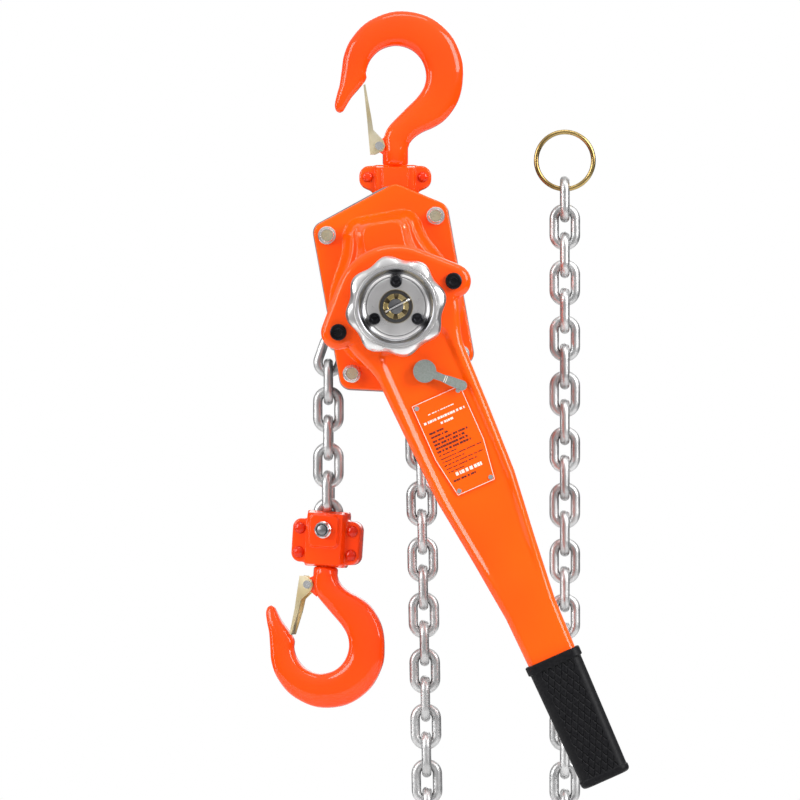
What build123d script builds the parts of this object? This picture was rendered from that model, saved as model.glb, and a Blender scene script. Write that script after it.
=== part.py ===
from build123d import *
import math
import os

# Lever chain hoist. Millimetres. X right, Y to the gear side, Z up.
# The origin is the centre of the top hook's bowl.

# ---- driving dimensions
AXIS_Z = -173.6          # height of the main axis, which runs along Y
TILT = 10.2              # lean of the body about the main axis, degrees
LEVER_ANGLE = 24.0       # lean of the lever from straight down, degrees

PLATE_HALF_GAP = 16.0
PLATE_OUTER = 21.0       # outer face of each side plate
COVER_T = 2.5
COVER_STEP = -42.0       # front face of the cover's lower step
COVER_FRONT = -53.0
CASE_BACK = 58.0
STAY_U = 41.25           # stay bolts, in the leaning body's own axes
STAY_TOP = 62.0
STAY_BOTTOM = -43.0
STAY_R = 4.0

WIRE = 7.1               # load chain wire
CHAIN_PITCH = 21.0
LINK_WIDTH = 23.0
LINK_GAP = 0.12
SHEAVE_R = 34.2
LOAD_X = -50.7           # hanging load strand
LOAD_BEND_Z = -215.3     # where the load strand turns towards the sheave
SLACK_X = 17.5
SLACK_BEND_Z = -226.0
LOOP_TOP_Z = -545.0
LOOP_LEFT_X = 23.5
RING_X = 126.6
LOOP_DEPTH = 111.4
LOAD_LINKS = 5
SLACK_LINKS = 60

PIN_R = 3.95             # chain pin
HOOK_X = -0.5            # top hook's shank
TOP_PIN_Z = -95.0
HOOK_T = 18.0
HOOK_BOWL_R = 22.5
TOP_LATCH_Z = -52.5      # latch pivot below the bowl's centre
BOTTOM_LATCH_Z = -46.2
BOTTOM_SCALE = 0.965     # the bottom hook against the top one
BOTTOM_BOWL_Z = -426.7
BOTTOM_YAW = -14.0       # turn of the bottom yoke and hook about Z, degrees
BOTTOM_TILT = 3.8        # swing of the bottom yoke on its chain pin, degrees
CHAIN_PIN_Z = -340.2
LATCH_X = -12.5

MODULE = 1.5
PINION_TEETH = 12
WHEEL_TEETH = 30
PRESSURE = math.radians(25)
GEAR_CENTRES = MODULE * (PINION_TEETH + WHEEL_TEETH) / 2

WHEEL_R = 36.35          # hand wheel's mean radius
WHEEL_WAVE = 1.75
WHEEL_LOBES = 8
GRIP_START = 285.0       # distances down the lever
GRIP_END = 385.3
SELECTOR_U = 52.5


# ---- placing helpers
def y_rod(radius, y_front, y_rear, x=0.0, z=0.0):
    """Round bar along Y."""
    length = y_rear - y_front
    return Pos(x, (y_front + y_rear) / 2, z) * Rot(90, 0, 0) * Cylinder(radius, length)


def y_tube(inner, outer, y_front, y_rear, x=0.0, z=0.0):
    return y_rod(outer, y_front, y_rear, x, z) - y_rod(inner, y_front - 1, y_rear + 1, x, z)


def slab(outline, y_front, y_rear):
    """Flat outline drawn in X and Z, filled from y_front to y_rear."""
    return extrude(Plane.XZ.offset(-y_rear) * outline, y_rear - y_front, dir=(0, -1, 0))


def on_axis(shape):
    return Pos(0, 0, AXIS_Z) * shape


def leaning(shape):
    """From the body's own axes to the hung position."""
    return Pos(0, 0, AXIS_Z) * Rot(0, -TILT, 0) * shape


def on_lever(shape):
    """From the lever's axes (Z up the lever, X across) to its place."""
    return Pos(0, 0, AXIS_Z) * Rot(0, -LEVER_ANGLE, 0) * shape


def hex_bar(corner_radius, y_front, y_rear, x=0.0, z=0.0):
    return slab(Pos(x, z) * RegularPolygon(corner_radius, 6), y_front, y_rear)


def solids_of(shapes):
    return Compound([s for shape in shapes for s in shape.solids()])


def turned(profile):
    """Profile of (radius, y) points turned about the Y axis."""
    face = make_face(Polyline(*[(r, y, 0) for r, y in profile], close=True))
    return revolve(face, Axis.Y, 360)


# ---- gears
def gear_outline(teeth, clearance=0.13):
    pitch = MODULE * teeth / 2
    base = pitch * math.cos(PRESSURE)
    tip = pitch + 0.85 * MODULE
    root = pitch - 1.2 * MODULE
    start = max(base, root)

    def sweep_angle(radius):
        roll = math.acos(min(1.0, base / radius))
        return math.tan(roll) - roll

    half = (math.pi * MODULE / 2 - clearance) / (2 * pitch) + sweep_angle(pitch)
    foot = half - sweep_angle(start)

    def point(radius, angle):
        return (radius * math.cos(angle), radius * math.sin(angle))

    edges = []
    step = 2 * math.pi / teeth
    radii = [start, (start + tip) / 2, tip]
    for i in range(teeth):
        a = i * step
        lower = [point(r, a - half + sweep_angle(r)) for r in radii]
        upper = [point(r, a + half - sweep_angle(r)) for r in radii]
        root_in = point(root, a - foot)
        root_out = point(root, a + foot)
        next_in = point(root, a + step - foot)
        if start > root:
            edges.append(Line(root_in, lower[0]))
        edges.append(ThreePointArc(*lower))
        edges.append(ThreePointArc(lower[2], point(tip, a), upper[2]))
        edges.append(ThreePointArc(*upper[::-1]))
        if start > root:
            edges.append(Line(upper[0], root_out))
        edges.append(ThreePointArc(root_out, point(root, a + step / 2), next_in))
    return make_face(Wire(edges))


def gear(teeth, y_front, y_rear, first_tooth):
    """Spur gear about Y; first_tooth is its angle from +X towards +Z, degrees."""
    return Rot(0, -first_tooth, 0) * slab(gear_outline(teeth), y_front, y_rear)


# ---- hooks
def hook(latch_z, shank_end, neck_end):
    """Hook with its bowl centred on the origin and its shank pointing down."""
    neck_z = latch_z - 5.3
    outer_c = (4.9, 3.4)
    outer_r = 45.8

    def on_outer(angle):
        a = math.radians(angle)
        return (outer_c[0] + outer_r * math.cos(a), outer_c[1] + outer_r * math.sin(a))

    def on_bowl(angle):
        a = math.radians(angle)
        return (HOOK_BOWL_R * math.cos(a), HOOK_BOWL_R * math.sin(a))

    crown = ThreePointArc(on_outer(-14), on_outer(88), on_outer(188))
    bowl = ThreePointArc(on_bowl(-45), on_bowl(75), on_bowl(192))
    back = Spline(
        (9, neck_z), (12.5, latch_z + 3), (33, -36), crown @ 0, tangents=[(0, 1), crown % 0]
    )
    tip = ThreePointArc((-46, -23), (-42.6, -28), (-38.2, -24.6))
    tip_outer = Spline(crown @ 1, tip @ 0, tangents=[crown % 1, (-0.16, -1)])
    tip_inner = Spline(tip @ 1, bowl @ 1, tangents=[(0.25, 1), (1.05, 0.5)])
    throat = Polyline(bowl @ 0, (-5.3, -37.1), (-6.5, -42), (-2, neck_z), (9, neck_z))
    face = make_face([crown, back, tip, tip_outer, tip_inner, bowl, throat])
    body = slab(face, -HOOK_T / 2, HOOK_T / 2)
    rims = body.edges().group_by(Axis.Y)
    body = chamfer(rims[0] + rims[-1], 2.5)
    shank = Pos(HOOK_X, 0, (shank_end - 43) / 2) * Cylinder(9.5, -43 - shank_end)
    neck = Pos(HOOK_X, 0, (shank_end + neck_end) / 2) * Cylinder(6.7, shank_end - neck_end + 1)
    lug = slab(
        Pos(LATCH_X, latch_z) * Circle(4.5)
        + Polygon((-13, latch_z + 4.4), (-6, latch_z + 8), (-3, latch_z), (-13, latch_z - 4.4), align=None),
        -5.5, 5.5,
    )
    lug -= slab(Pos(LATCH_X, latch_z) * Rectangle(8.2, 12), -2.5, 2.5)
    lug -= y_rod(1.85, -6, 6, LATCH_X, latch_z)
    window = slab(Pos(LATCH_X, latch_z) * Circle(4.1), -2.5, 2.5)
    return body + shank + neck - window + (lug - window)


def latch(latch_z):
    """Pressed channel: a web along the throat and two cheeks round the pin."""
    web = make_face(Polyline(
        (-24.4, -6.9), (-23.0, -6.3), (-20.1, latch_z + 19), (-19.0, latch_z + 7.6),
        (-20.5, latch_z + 7.6), (-21.6, latch_z + 19), close=True,
    ))
    side = make_face(Polyline(
        (-24.4, -6.9), (-23.0, -6.3), (-18.4, latch_z + 21), (-17.0, latch_z + 12),
        (-9.4, latch_z + 4), (-8.2, latch_z), (-9.6, latch_z - 3.8), (-12.5, latch_z - 4.8),
        (-15.5, latch_z - 6.4), (-19.4, latch_z - 6.4), (-20.5, latch_z + 6),
        (-21.6, latch_z + 19), close=True,
    ))
    cheeks = slab(side, -7.5, -6.0) + slab(side, 6.0, 7.5)
    return slab(web, -7.5, 7.5) + cheeks - y_rod(1.85, -8, 8, LATCH_X, latch_z)


def latch_pin(latch_z):
    pin = y_rod(1.75, -8.2, 8.2, LATCH_X, latch_z)
    heads = y_rod(3.2, -9.2, -7.7, LATCH_X, latch_z) + y_rod(3.2, 7.7, 9.2, LATCH_X, latch_z)
    return pin + heads


def latch_spring(latch_z):
    """Coil round the pin, between the lug's ears."""
    coil = Helix(1.05, 3.6, 2.75, center=(LATCH_X, -1.8, latch_z), direction=(0, 1, 0))
    start = Plane(origin=coil @ 0, z_dir=coil % 0)
    return sweep(start * Circle(0.42), path=coil, is_frenet=True)


def collar(z_low, z_high, x):
    return Pos(x, 0, (z_low + z_high) / 2) * (Cylinder(12, z_high - z_low) - Cylinder(6.72, 40))


# ---- top yoke
def top_yoke_half(side):
    """One half; side is -1 in front and +1 behind."""
    ears = Pos(HOOK_X, -76.4) * RectangleRounded(54, 18, 8)
    stem = Pos(HOOK_X, -77.4) * Rectangle(31, 20) + Pos(HOOK_X, -91) * Rectangle(26, 8)
    stem += Pos(HOOK_X, TOP_PIN_Z) * Circle(13)
    y_in = 0.05
    half = slab(ears, y_in, 8) + slab(stem, y_in, 13)
    half += slab(Pos(HOOK_X, -80.5) * Rectangle(20.5, 22), 12, 15.3)
    half -= Pos(HOOK_X, 0, -79.5) * Cylinder(12.5, 11)
    half -= Pos(HOOK_X, 0, -70) * Cylinder(6.95, 14)
    half -= y_rod(6.05, -1, 20, HOOK_X, TOP_PIN_Z)
    for x in (-21.2, 20.2):
        half -= y_rod(3.02, -1, 20, x, -75.8)
    return half if side > 0 else mirror(half, Plane.XZ)


def dome_rivet(x, z, half_grip, shank_r=3.0, head_r=3.9, head_h=2.4):
    shank = y_rod(shank_r, -half_grip, half_grip, x, z)
    dome = Pos(x, half_grip, z) * scale(Sphere(head_r), by=(1, head_h / head_r, 1))
    dome &= Pos(x, half_grip + 5, z) * Box(20, 10, 20)
    return shank + dome + mirror(dome, Plane.XZ)


# ---- body
def body_outline():
    corners = Polygon(
        (-51.5, 70.5), (14, 92.5), (51.5, 68), (51.5, -50), (-12, -62.5), (-51.5, -53.5), align=None
    )
    apex_last = corners.vertices().sort_by(Axis.Y)
    rounded = fillet(apex_last[:-1], 9)
    return fillet(rounded.vertices().sort_by(Axis.Y)[-1], 22)


def stay_points():
    return [(s * STAY_U, w) for s in (-1, 1) for w in (STAY_TOP, STAY_BOTTOM)]


def side_plate(y_front, y_rear):
    plate = leaning(slab(body_outline(), y_front, y_rear)
                    - y_rod(20.02, y_front - 1, y_rear + 1))
    for u, w in stay_points():
        plate -= leaning(y_rod(STAY_R + 0.02, y_front - 1, y_rear + 1, u, w))
    plate -= y_rod(6.02, y_front - 1, y_rear + 1, HOOK_X, TOP_PIN_Z)
    plate -= on_axis(slab(Pos(-16, -50.5) * Rectangle(10.2, 6.2), y_front - 1, y_rear + 1))
    return plate


def pawl_pin_points():
    return [(43 * math.cos(a), 43 * math.sin(a)) for a in (math.radians(130), math.radians(310))]


def cover_outline(inset):
    lobe = Pos(0, 36 - inset / 2) * RectangleRounded(59 - 2 * inset, 72 - inset, 9 - inset * 0.3)
    return Circle(51 - inset) + lobe


def brake_cover():
    flange = slab(offset(body_outline(), -0.6), -23.5, -21)
    outer = slab(cover_outline(0), COVER_STEP, -21) + slab(cover_outline(9), COVER_FRONT, COVER_STEP)
    inner = slab(cover_outline(COVER_T), COVER_STEP + COVER_T, -20)
    inner += slab(cover_outline(9 + COVER_T), COVER_FRONT + COVER_T, COVER_STEP + 3)
    cover = flange + outer - inner - y_rod(17, -60, -20)
    for u, w in stay_points():
        cover -= y_rod(STAY_R + 0.02, -30, -20, u, w)
    return leaning(cover)


def gear_case():
    flange = slab(offset(body_outline(), -0.6), 21, 23.5)
    hump = Circle(46) + Pos(0, GEAR_CENTRES) * Circle(27.5) + Pos(0, -GEAR_CENTRES) * Circle(27.1)
    room = Circle(43.5) + Pos(0, GEAR_CENTRES) * Circle(25) + Pos(0, -GEAR_CENTRES) * Circle(24.6)
    case = flange + slab(hump, 21, CASE_BACK) - slab(room, 20, CASE_BACK - COVER_T)
    for w in (0, GEAR_CENTRES, -GEAR_CENTRES):
        case += y_tube(5.04, 8, CASE_BACK - 9, CASE_BACK - 1, 0, w)
    for u, w in stay_points():
        case -= y_rod(STAY_R + 0.02, 20, 30, u, w)
    return leaning(case)


def stay_bolts():
    bolts = []
    for u, w in stay_points():
        bolt = y_rod(STAY_R, -29.3, 29.3, u, w)
        if w > 0:
            bolt += y_rod(6, -15.95, 15.95, u, w)
        bolts.append(leaning(bolt))
    return solids_of(bolts)


def stay_nuts(side):
    nuts = []
    for u, w in stay_points():
        nut = y_rod(6.9, 23.55, 25.2, u, w) + hex_bar(5.6, 25.2, 29.5, u, w)
        nut -= y_rod(STAY_R + 0.02, 20, 30, u, w)
        nuts.append(leaning(nut if side > 0 else mirror(nut, Plane.XZ)))
    return solids_of(nuts)


def guide_sleeves():
    sleeves = [y_tube(STAY_R + 0.03, 5.8, -15.95, 15.95, s * STAY_U, STAY_BOTTOM) for s in (-1, 1)]
    return solids_of([leaning(s) for s in sleeves])


def chain_stripper():
    block = slab(Pos(-16, -50.5) * Rectangle(22, 12), -15.8, 15.8)
    tabs = slab(Pos(-16, -50.5) * Rectangle(10, 6), -20.9, 20.9)
    tongue = slab(Polygon((-26, -46), (-6, -46), (-5, -30), (-12, -25.5), align=None), -3.2, 3.2)
    return on_axis(block + tabs + tongue)


# ---- drive
def load_sheave():
    sheave = turned([
        (8.06, -22), (14, -22), (14, -15.7), (38, -15.7), (38, -12.3), (27, -12.3), (27, -4.4),
        (21.2, -4.4), (21.2, 4.4), (27, 4.4), (27, 12.3), (38, 12.3), (38, 15.7), (14, 15.7),
        (14, 22), (13, 22.2), (13, 31), (8.06, 31),
    ])
    for i in range(5):
        flat = Pos(28.5, 0, 0) * (Box(7, 24.2, 27) - Box(8, 8.8, 28))
        sheave -= Rot(0, 72 * i, 0) * flat
    return on_axis(sheave)


def bearing(y_front, y_rear):
    return on_axis(y_tube(14.05, 20, y_front, y_rear))


def load_gear():
    return leaning(gear(WHEEL_TEETH, 22.5, 30.5, 90 + 180 / WHEEL_TEETH) - y_rod(13.02, 20, 32))


def idler_gear(side):
    """Large wheel on the pinion, small one on the load gear; side is +1 above."""
    toward_axis = -90 * side
    wheel = gear(WHEEL_TEETH, 33, 41, toward_axis + 180 / WHEEL_TEETH)
    small = gear(PINION_TEETH, 23.5, 33, toward_axis)
    arbor = y_rod(5, 21.3, CASE_BACK - COVER_T - 0.5)
    return leaning(Pos(0, 0, side * GEAR_CENTRES) * (wheel + small + arbor))


def drive_shaft():
    shaft = y_rod(8, -60, 33) + y_rod(7, -97, -60) + y_rod(5.5, -105.4, -97)
    shaft += y_rod(5, 33, CASE_BACK - COVER_T - 0.5)
    shaft = leaning(shaft + gear(PINION_TEETH, 33, 41, 90))
    pin_slot = Rot(0, -28, 0) * Pos(0, -105, 0) * Box(30, 6.8, 2.8)
    return shaft - on_axis(pin_slot)


def disc_hub():
    return on_axis(y_tube(8.02, 34, -27, -23.6) + y_tube(8.02, 16, -37.6, -27))


def friction_discs():
    return solids_of([on_axis(y_tube(16.4, 35, y, y + 3)) for y in (-30.05, -38.15)])


def ratchet_disc():
    teeth = 12
    points = []
    for i in range(teeth):
        a = 2 * math.pi * i / teeth
        points.append((33.6 * math.cos(a), 33.6 * math.sin(a)))
        points.append((38 * math.cos(a), 38 * math.sin(a)))
    disc = slab(make_face(Polyline(*points, close=True)), -35.1, -30.1) - y_rod(16.2, -40, -25)
    return leaning(disc)


def pawl(index):
    """Pawl on its pin, its nose at the radial face of a ratchet tooth."""
    nose_a = math.radians(150 + 180 * index)
    px, pz = pawl_pin_points()[index]

    def polar(radius, degrees):
        a = nose_a - math.radians(degrees)
        return (radius * math.cos(a), radius * math.sin(a))

    arm = Polygon(polar(34.6, 1.0), polar(39.6, 1.0), polar(45, 12), polar(46.5, 20),
                  polar(39.6, 21), polar(39.0, 10), align=None)
    boss = Pos(px, pz) * Circle(4.4)
    return leaning(slab(arm + boss, -35.1, -30.1) - y_rod(2.56, -40, -20, px, pz))


def pawl_pins():
    pins = [y_rod(2.5, -37.5, -21.05, px, pz) + y_rod(3.6, -38.6, -36, px, pz)
            for px, pz in pawl_pin_points()]
    return solids_of([leaning(p) for p in pins])


def pawl_springs():
    coils = []
    for px, pz in pawl_pin_points():
        coil = Helix(1.3, 5.2, 3.4, center=(px, -28.6, pz), direction=(0, 1, 0))
        start = Plane(origin=coil @ 0, z_dir=coil % 0)
        coils.append(leaning(sweep(start * Circle(0.5), path=coil, is_frenet=True)))
    return solids_of(coils)


def change_gear():
    flange = y_rod(34, -41.6, -38.2)
    sleeve = y_rod(16, -62, -41.6) + y_rod(13, -83.6, -62)
    teeth = 20
    ring = Circle(29.6)
    for i in range(teeth):
        a = 360 * i / teeth
        ring -= Rot(0, 0, a) * Pos(30, 0) * Circle(2.6)
    ring = slab(ring, -75.5, -62)
    return on_axis(flange + sleeve + ring - y_rod(8.02, -60, -35) - y_rod(7.02, -90, -59))


def castle_nut():
    nut = y_rod(9.6, -98.6, -97.05) + hex_bar(9.2, -105.2, -98.6)
    for i in range(3):
        slot = Rot(0, 60 * i - 28, 0) * Box(24, 4, 3.0)
        nut -= Pos(0, -103.3, 0) * slot
    return on_axis(nut - y_rod(5.52, -120, -90))


def cotter_pin():
    rod = Pos(0, -103, 0) * Rot(0, 90, 0) * Cylinder(1.2, 17.6)
    eye = Pos(9.7, -103, 0) * Torus(1.5, 0.8)
    return on_axis(Rot(0, -28, 0) * (rod + eye))


def wheel_outline():
    points = []
    count = WHEEL_LOBES * 6
    for i in range(count):
        a = 2 * math.pi * i / count
        r = WHEEL_R + WHEEL_WAVE * math.cos(WHEEL_LOBES * (a - math.radians(12)))
        points.append((r * math.cos(a), r * math.sin(a)))
    return make_face(Spline(*points, periodic=True))


def handwheel():
    rim = slab(wheel_outline(), -105, -94) + y_rod(33.5, -106, -94)
    rim -= y_rod(26.4, -107, -99)
    rim -= y_tube(30, 31.2, -107, -105)
    hub = y_rod(24, -95, -86)
    wheel = rim + hub - y_rod(12.2, -107, -88) - y_rod(7.08, -90, -80)
    for a in (90, 210, 330):
        x = 18.3 * math.cos(math.radians(a))
        z = 18.3 * math.sin(math.radians(a))
        wheel -= y_rod(2.52, -100, -89, x, z)
    return on_axis(wheel)


def handwheel_screws():
    screws = []
    for a in (90, 210, 330):
        x = 18.3 * math.cos(math.radians(a))
        z = 18.3 * math.sin(math.radians(a))
        screw = y_rod(4.4, -103, -99.05, x, z) + y_rod(2.5, -99.1, -90, x, z)
        screws.append(on_axis(screw - hex_bar(2.4, -104, -101, x, z)))
    return solids_of(screws)


def handwheel_spring():
    coil = Helix(1.47, 4.41, 8.6, center=(0, -93.1, 0), direction=(0, 1, 0))
    start = Plane(origin=coil @ 0, z_dir=coil % 0)
    return on_axis(sweep(start * Circle(0.6), path=coil, is_frenet=True))


# ---- lever, drawn with X across it and Z up it
def lever_outline(inset=0.0):
    """Round head drawn out into two bolt lobes, and the arm down to the grip."""
    lobes = [Pos(side * 46.9, 0) * Circle(13 - inset) for side in (-1, 1)]
    head = Circle(46.5 - inset) + lobes[0] + lobes[1]
    head += make_hull(head.edges()) & Pos(0, 40) * Rectangle(140, 80)
    arm = Polygon(
        (-34.5 + inset, -20), (34.5 - inset, -20), (34.5 - inset, -50), (33.1 - inset, -97),
        (30.9 - inset, -147), (24.8 - inset, -198), (19.8 - inset, -246),
        (18.8 - inset, -GRIP_START + inset), (-18.8 + inset, -GRIP_START + inset),
        (-19.8 + inset, -246), (-24.8 + inset, -198), (-30.9 + inset, -147), (-33.1 + inset, -97),
        (-34.5 + inset, -50), align=None,
    )
    return head + arm


def side_wedge(y_front_head, y_front_arm, y_rear_head, y_rear_arm, low=-400, high=80):
    """Room between two faces that close in towards the grip."""
    profile = Polygon(
        (y_front_head, high), (y_front_head, -150), (y_front_arm, -240), (y_front_arm, low),
        (y_rear_arm, low), (y_rear_arm, -240), (y_rear_head, -150), (y_rear_head, high), align=None,
    )
    return extrude(Plane.YZ * profile, 80, both=True)


def lever_tang(y_front, y_rear):
    """Tongue inside the grip."""
    return slab(Pos(0, -GRIP_START - 43) * Rectangle(24, 88), y_front, y_rear)


def lever_bolt_points():
    return [(-46.9, 0), (46.9, 0)]


def lever_front_shell():
    shell = slab(lever_outline(), -82, -69.55) & side_wedge(-82, -77.5, -69.55, -69.55)
    panel = slab(Polygon((-23, -62), (23, -62), (22, -150), (13, -230), (-13, -230),
                         (-22, -150), align=None), -90, -60)
    shell -= panel & side_wedge(-95, -90, -79.8, -75.3)
    hollow = slab(lever_outline(3), -90, -60)
    head_room = Pos(0, -70, 10) * Box(120, 60, 124)
    shell -= hollow & side_wedge(-76.5, -72.4, -60, -60)
    shell -= slab(Circle(43.5), -79.6, -60) & head_room
    shell += lever_tang(-75.5, -69.55)
    shell += y_rod(7.5, -80, -76, 0, -SELECTOR_U)
    shell -= y_rod(13.08, -90, -60) + y_rod(4.05, -90, -60, 0, -SELECTOR_U)
    for x, z in lever_bolt_points():
        shell += y_tube(2.6, 6, -79.8, -69.55, x, z)
        shell -= y_rod(2.6, -90, -60, x, z)
    return on_lever(shell)


def lever_rear_shell():
    shell = slab(lever_outline(), -69.5, -57) & side_wedge(-69.5, -69.5, -57, -61.5)
    shell -= slab(lever_outline(3), -80, -50) & side_wedge(-80, -80, -59.8, -64.3)
    shell += lever_tang(-69.5, -63.5)
    shell -= y_rod(16.08, -80, -50)
    for x, z in lever_bolt_points():
        shell += y_rod(6, -69.5, -59.5, x, z)
        shell -= y_rod(2.55, -80, -59.6, x, z)
    return on_lever(shell)


def lever_bolts():
    bolts = []
    for x, z in lever_bolt_points():
        bolt = y_rod(6.2, -86, -82.05, x, z) + y_rod(2.5, -82.1, -60, x, z)
        bolts.append(on_lever(bolt - hex_bar(2.9, -87, -83.6, x, z)))
    return solids_of(bolts)


def lever_grip():
    body = Polygon((-20.5, -GRIP_START - 5), (20.5, -GRIP_START - 5), (18.6, -GRIP_END + 6),
                   (-18.6, -GRIP_END + 6), align=None)
    collar_face = Pos(0, -GRIP_START - 3.6) * RectangleRounded(44, 7.2, 2.5)
    end = Pos(0, -GRIP_END + 3.6) * RectangleRounded(38.6, 7.2, 3)
    grip = slab(body, -81.5, -57.5) + slab(collar_face, -83, -56) + slab(end, -82.3, -56.7)
    grip -= slab(Pos(0, -GRIP_START - 43) * Rectangle(24.1, 88.2), -75.55, -63.45)
    return on_lever(grip)


def name_plate():
    outline = Polygon((-20, -72.4), (20, -72.4), (20, -116), (15.2, -147.4), (-15.2, -147.4),
                      (-20, -116), align=None)
    plate = slab(fillet(outline.vertices(), 2), -80.7, -79.85)
    for x, z in plate_rivet_points():
        plate -= y_rod(1.02, -82, -79, x, z)
    return on_lever(plate)


def plate_rivet_points():
    return [(-16.8, -75.6), (16.8, -75.6), (-12.8, -144.4), (12.8, -144.4)]


def name_plate_rivets():
    rivets = [y_rod(1, -80.8, -79.85, x, z) + y_rod(1.8, -81.5, -80.75, x, z)
              for x, z in plate_rivet_points()]
    return solids_of([on_lever(r) for r in rivets])


def selector_lever():
    stem = y_rod(4, -82.2, -64)
    disc = y_rod(8.6, -87.5, -82.2)
    blade = Polygon((0, -3.2), (14, -2.7), (20, -3.4), (29.6, -3.8), (29.6, 3.8), (20, 3.4), (14, 2.7),
                    (0, 3.2), align=None)
    arm = slab(blade + Pos(29.6, 0) * Circle(3.8), -87, -84.2)
    knob = disc + stem + Rot(0, 45, 0) * arm
    return on_lever(Pos(0, 0, -SELECTOR_U) * knob)


def selector_pawl():
    cam = Circle(7)
    for a in (45, 135):
        tip = Rot(0, 0, a) * Polygon((0, -5), (18.5, -3), (21.4, 0), (18.5, 3), (0, 5), align=None)
        cam += tip
    cam = slab(cam, -75.4, -65) - y_rod(4.04, -80, -60)
    return on_lever(Pos(0, 0, -SELECTOR_U) * Rot(0, 45, 0) * cam)


# ---- chain
def chain_link():
    """Link with its length along Z and its width along X."""
    bend_r = (LINK_WIDTH - WIRE) / 2
    half = CHAIN_PITCH / 2 + WIRE / 2 - bend_r
    top = Pos(0, 0, half) * Rot(90, 0, 0) * Torus(bend_r, WIRE / 2)
    top &= Pos(0, 0, half + LINK_WIDTH / 2) * Box(2 * LINK_WIDTH, LINK_WIDTH, LINK_WIDTH)
    sides = [Pos(s * bend_r, 0, 0) * Cylinder(WIRE / 2, 2 * half) for s in (-1, 1)]
    return top + mirror(top, Plane.XY) + sides[0] + sides[1]


FACE_HALF = CHAIN_PITCH / 2 - WIRE / 2 - LINK_GAP
EDGE_HALF = CHAIN_PITCH / 2 + WIRE / 2
LINK = chain_link()


def placed_link(start, end, edge_on, yaw=0.0):
    """Link between two pivots given as (x, z)."""
    dx = end[0] - start[0]
    dz = end[1] - start[1]
    lean = math.degrees(math.atan2(dx, dz))
    middle = Pos((start[0] + end[0]) / 2, 0, (start[1] + end[1]) / 2)
    return middle * Rot(0, lean, 0) * Rot(0, 0, yaw + (90 if edge_on else 0)) * LINK


def tangent_point(x, z, side):
    """Where a line from (x, z) touches the chain's circle; side is -1 on the left."""
    dx, dz = x, z - AXIS_Z
    distance = math.hypot(dx, dz)
    spread = math.acos(SHEAVE_R / distance)
    angle = math.atan2(dz, dx) + side * spread
    return (SHEAVE_R * math.cos(angle), AXIS_Z + SHEAVE_R * math.sin(angle))


def chain_path():
    """From the load strand's bend, over the sheave and round the loop to the ring."""
    left = tangent_point(LOAD_X, LOAD_BEND_Z, -1)
    right = tangent_point(SLACK_X, SLACK_BEND_Z, 1)
    loop_r = (RING_X - LOOP_LEFT_X) / 2
    loop = EllipticalCenterArc((LOOP_LEFT_X + loop_r, LOOP_TOP_Z), loop_r, LOOP_DEPTH, 180, arc_size=180)
    return Wire([
        Line((LOAD_X, LOAD_BEND_Z), left),
        ThreePointArc(left, (0, AXIS_Z + SHEAVE_R), right),
        Line(right, (SLACK_X, SLACK_BEND_Z)),
        Line((SLACK_X, SLACK_BEND_Z), (LOOP_LEFT_X, LOOP_TOP_Z)),
        loop,
        Line((RING_X, LOOP_TOP_Z), (RING_X, 0)),
    ])


def pivots_along(path, count, first_edge_on):
    """Pivots between links, each a rigid chord further along the path."""
    points = [path.position_at(0)]
    at = 0.0
    for i in range(count):
        edge_on = (i % 2 == 0) == first_edge_on
        chord = 2 * (EDGE_HALF if edge_on else FACE_HALF)
        low, high = at, at + 1.6 * chord
        for _ in range(26):
            middle = (low + high) / 2
            reach = path.position_at(middle, position_mode=PositionMode.LENGTH)
            if (reach - points[-1]).length < chord:
                low = middle
            else:
                high = middle
        at = low
        points.append(path.position_at(at, position_mode=PositionMode.LENGTH))
    return [(p.X, p.Y) for p in points]


def wrapped_links():
    """Links from the load strand's bend to the ring, in order."""
    pivots = pivots_along(chain_path(), SLACK_LINKS, first_edge_on=False)
    links = [placed_link(a, b, i % 2 == 1) for i, (a, b) in enumerate(zip(pivots, pivots[1:]))]
    return links, pivots


def load_strand():
    """Hanging links from the bend down to the chain pin, and the pin's height."""
    links = []
    z = LOAD_BEND_Z
    for i in range(LOAD_LINKS + 1):
        edge_on = i % 2 == 0
        length = 2 * (EDGE_HALF if edge_on else FACE_HALF)
        yaw = BOTTOM_YAW * (i / LOAD_LINKS) ** 2
        links.append(placed_link((LOAD_X, z - length), (LOAD_X, z), edge_on, yaw))
        z -= length
    last_centre = z + FACE_HALF
    pin_z = last_centre - CHAIN_PITCH / 2 + PIN_R + 0.1
    return links, pin_z


# ---- bottom block, drawn about the strand's own axis and then turned
def at_strand(shape):
    swung = Rot(0, BOTTOM_TILT, 0) * Pos(0, 0, -CHAIN_PIN_Z) * shape
    return Pos(LOAD_X, 0, CHAIN_PIN_Z) * Rot(0, 0, BOTTOM_YAW) * swung


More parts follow.
